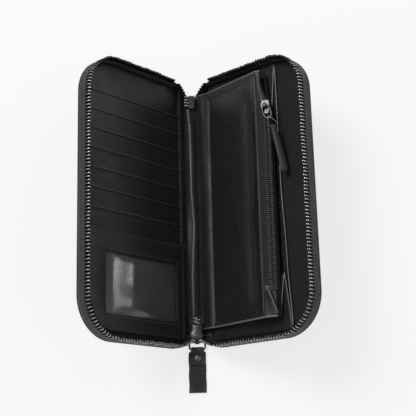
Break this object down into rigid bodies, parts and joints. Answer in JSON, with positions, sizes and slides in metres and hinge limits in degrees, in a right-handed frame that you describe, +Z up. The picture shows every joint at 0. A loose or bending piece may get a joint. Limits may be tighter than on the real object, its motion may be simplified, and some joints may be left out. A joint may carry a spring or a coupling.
{
  "type": "long zip-around wallet",
  "caption": "Long black leather zip-around wallet lying open on its spine, with card slots, an ID window, a zipped coin pocket and a strap pull.",
  "frame": {"origin": "middle of the underside of the spine, on the surface it lies on", "axes": "+Y along the spine away from the zip pull, +Z up, front cover with the card slots towards -X"},
  "size_m": [0.1577, 0.2277, 0.0799],
  "materials": {
    "outer_leather": "fine-grained black leather",
    "inner_leather": "smooth black leather",
    "strap_leather": "thick black leather, raw edge",
    "lining": "fine black lining cloth",
    "board": "stiffening board",
    "zip_tape": "woven zip tape",
    "zip_teeth": "antique gunmetal plating",
    "zip_metal": "dark nickel plating",
    "rivet": "antique brass plating",
    "coil": "black nylon coil",
    "window_film": "clear soft film"
  },
  "bodies": {
    "spine": {"spine_leather": "outer_leather", "spine_reinforcement": "board", "spine_lining": "inner_leather", "zip_tape_lower_end": "zip_tape", "lower_end_teeth": "zip_teeth", "zip_tape_upper_end": "zip_tape", "upper_end_teeth": "zip_teeth"},
    "main_slider": {"slider_body": "zip_metal", "slider_bail": "zip_metal"},
    "ring": {"pull_ring": "zip_metal"},
    "strap": {"pull_strap": "strap_leather", "rivet_stud": "rivet", "rivet_cap": "rivet"},
    "front_cover": {"front_outer_leather": "outer_leather", "front_stiffener": "board", "front_lining": "lining", "front_zip_tape": "zip_tape", "front_zip_teeth": "zip_teeth", "card_backing": "lining", "card_slot_1": "inner_leather", "card_slot_2": "inner_leather", "card_slot_3": "inner_leather", "card_slot_4": "inner_leather", "card_slot_5": "inner_leather", "card_slot_6": "inner_leather", "card_slot_7": "inner_leather", "id_window_frame": "inner_leather", "id_window_film": "window_film", "card_edge_binding": "inner_leather"},
    "back_cover": {"back_outer_leather": "outer_leather", "back_stiffener": "board", "back_lining": "lining", "back_zip_tape": "zip_tape", "back_zip_teeth": "zip_teeth", "leaf_panel": "inner_leather", "gusset_leaf_flaps": "inner_leather", "pocket_spine_tab": "inner_leather"},
    "coin_pocket": {"coin_front_panel": "inner_leather", "coin_rear_panel": "inner_leather", "coin_pocket_lining": "lining", "coin_top_hem": "inner_leather", "coin_bottom_seam": "inner_leather", "gusset_pocket_flaps": "inner_leather", "coin_zip_tapes": "zip_tape", "coin_zip_coil": "coil", "coin_zip_ends": "inner_leather"},
    "coin_slider": {"coin_slider_body": "zip_metal"},
    "coin_link": {"coin_pull_link": "zip_metal"},
    "coin_puller": {"coin_pull_eye": "zip_metal", "coin_pull_leather": "strap_leather"}
  },
  "joints": [
    {"name": "front_fold", "type": "hinge", "parent": "spine", "child": "front_cover", "pos_m": [-0.01, 0, 0.0012], "axis": [0, 1, 0], "range_deg": [-47.76, 42.24]},
    {"name": "back_fold", "type": "hinge", "parent": "spine", "child": "back_cover", "pos_m": [0.01, 0, 0.0012], "axis": [0, -1, 0], "range_deg": [-42.19, 47.81]},
    {"name": "pocket_swing", "type": "hinge", "parent": "back_cover", "child": "coin_pocket", "pos_m": [0.01025, 0, 0.00763], "axis": [0, 1, 0], "range_deg": [-18, 2]},
    {"name": "zip_slide", "type": "slide", "parent": "spine", "child": "main_slider", "axis": [0, -1, 0], "range_m": [-0.0015, 0.004]},
    {"name": "ring_swing", "type": "hinge", "parent": "main_slider", "child": "ring", "pos_m": [0, -0.0932, 0.0018], "axis": [1, 0, 0], "range_deg": [-75, 45]},
    {"name": "strap_swing", "type": "hinge", "parent": "ring", "child": "strap", "pos_m": [0, -0.0983, 0.0018], "axis": [1, 0, 0], "range_deg": [-45, 45]},
    {"name": "coin_zip_slide", "type": "slide", "parent": "coin_pocket", "child": "coin_slider", "axis": [0, -1, 0], "range_m": [0, 0.107]},
    {"name": "coin_link_swing", "type": "hinge", "parent": "coin_slider", "child": "coin_link", "pos_m": [0.05095, 0.061, 0.05621], "axis": [0.9085, 0.3047, 0.2859], "range_deg": [-110, 0]},
    {"name": "coin_pull_swing", "type": "hinge", "parent": "coin_link", "child": "coin_puller", "pos_m": [0.05358, 0.0514, 0.05808], "axis": [0.9085, 0.3047, 0.2859], "range_deg": [-60, 0]}
  ]
}
